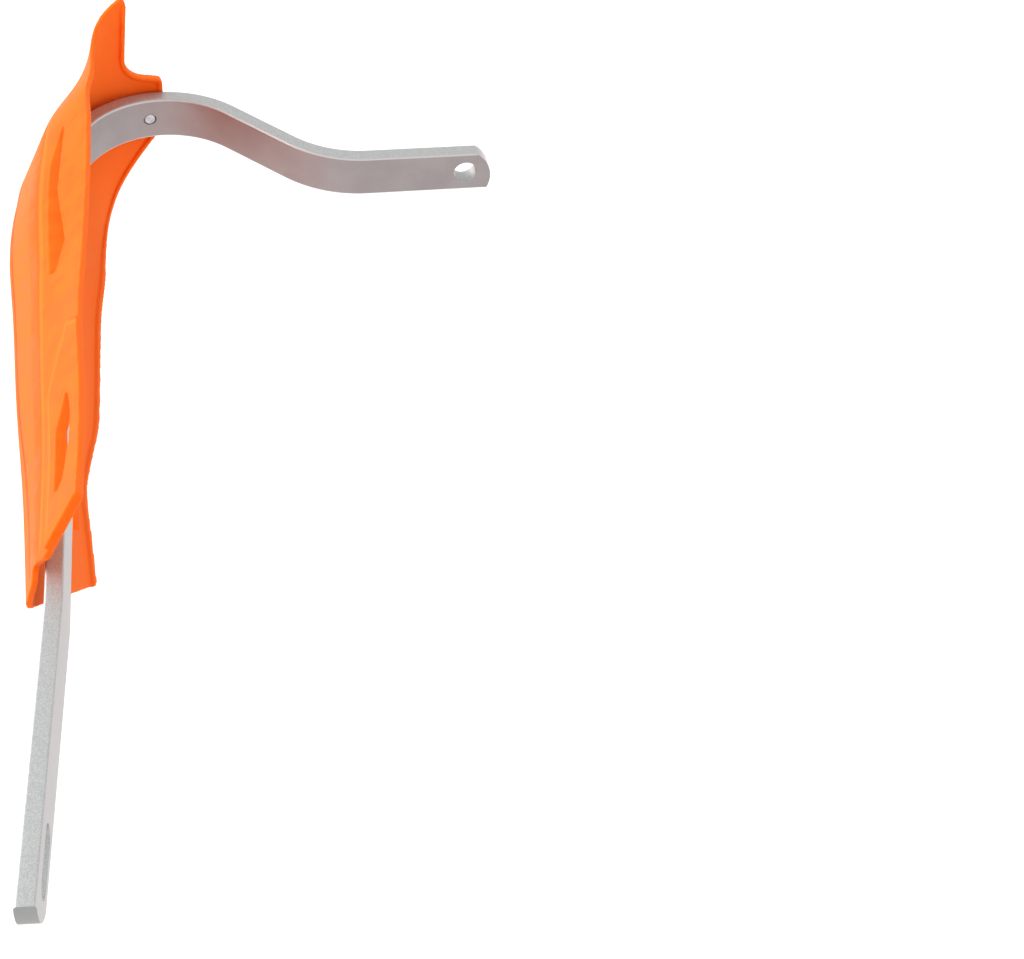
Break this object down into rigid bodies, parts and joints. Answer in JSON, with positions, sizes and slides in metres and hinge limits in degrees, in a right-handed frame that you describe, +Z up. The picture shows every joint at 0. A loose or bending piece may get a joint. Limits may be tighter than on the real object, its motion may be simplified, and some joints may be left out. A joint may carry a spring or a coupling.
{
  "type": "motorcycle hand guard",
  "caption": "Right-hand motorcycle hand guard: a bent flat aluminium bar with a bar-end hole and a clamp slot, and a vented moulded plastic shield screwed to it.",
  "frame": {"origin": "middle of the round bar-end hole, half way through the bar's thickness", "axes": "+X outboard along the bar-end hole and the handlebar, +Y forward of the rider's hand, +Z up"},
  "size_m": [0.35, 0.1912, 0.0969],
  "materials": {
    "bar_aluminium": "satin, tumbled, with a fine grain on its sawn edges",
    "shield_plastic": "satin-gloss moulded orange",
    "fastener_steel": "zinc-plated"
  },
  "bodies": {
    "root": {"guard_bar": "bar_aluminium", "hand_shield": "shield_plastic", "outer_shield_screw": "fastener_steel", "outer_screw_washer": "fastener_steel", "inner_shield_screw": "fastener_steel"}
  },
  "joints": []
}
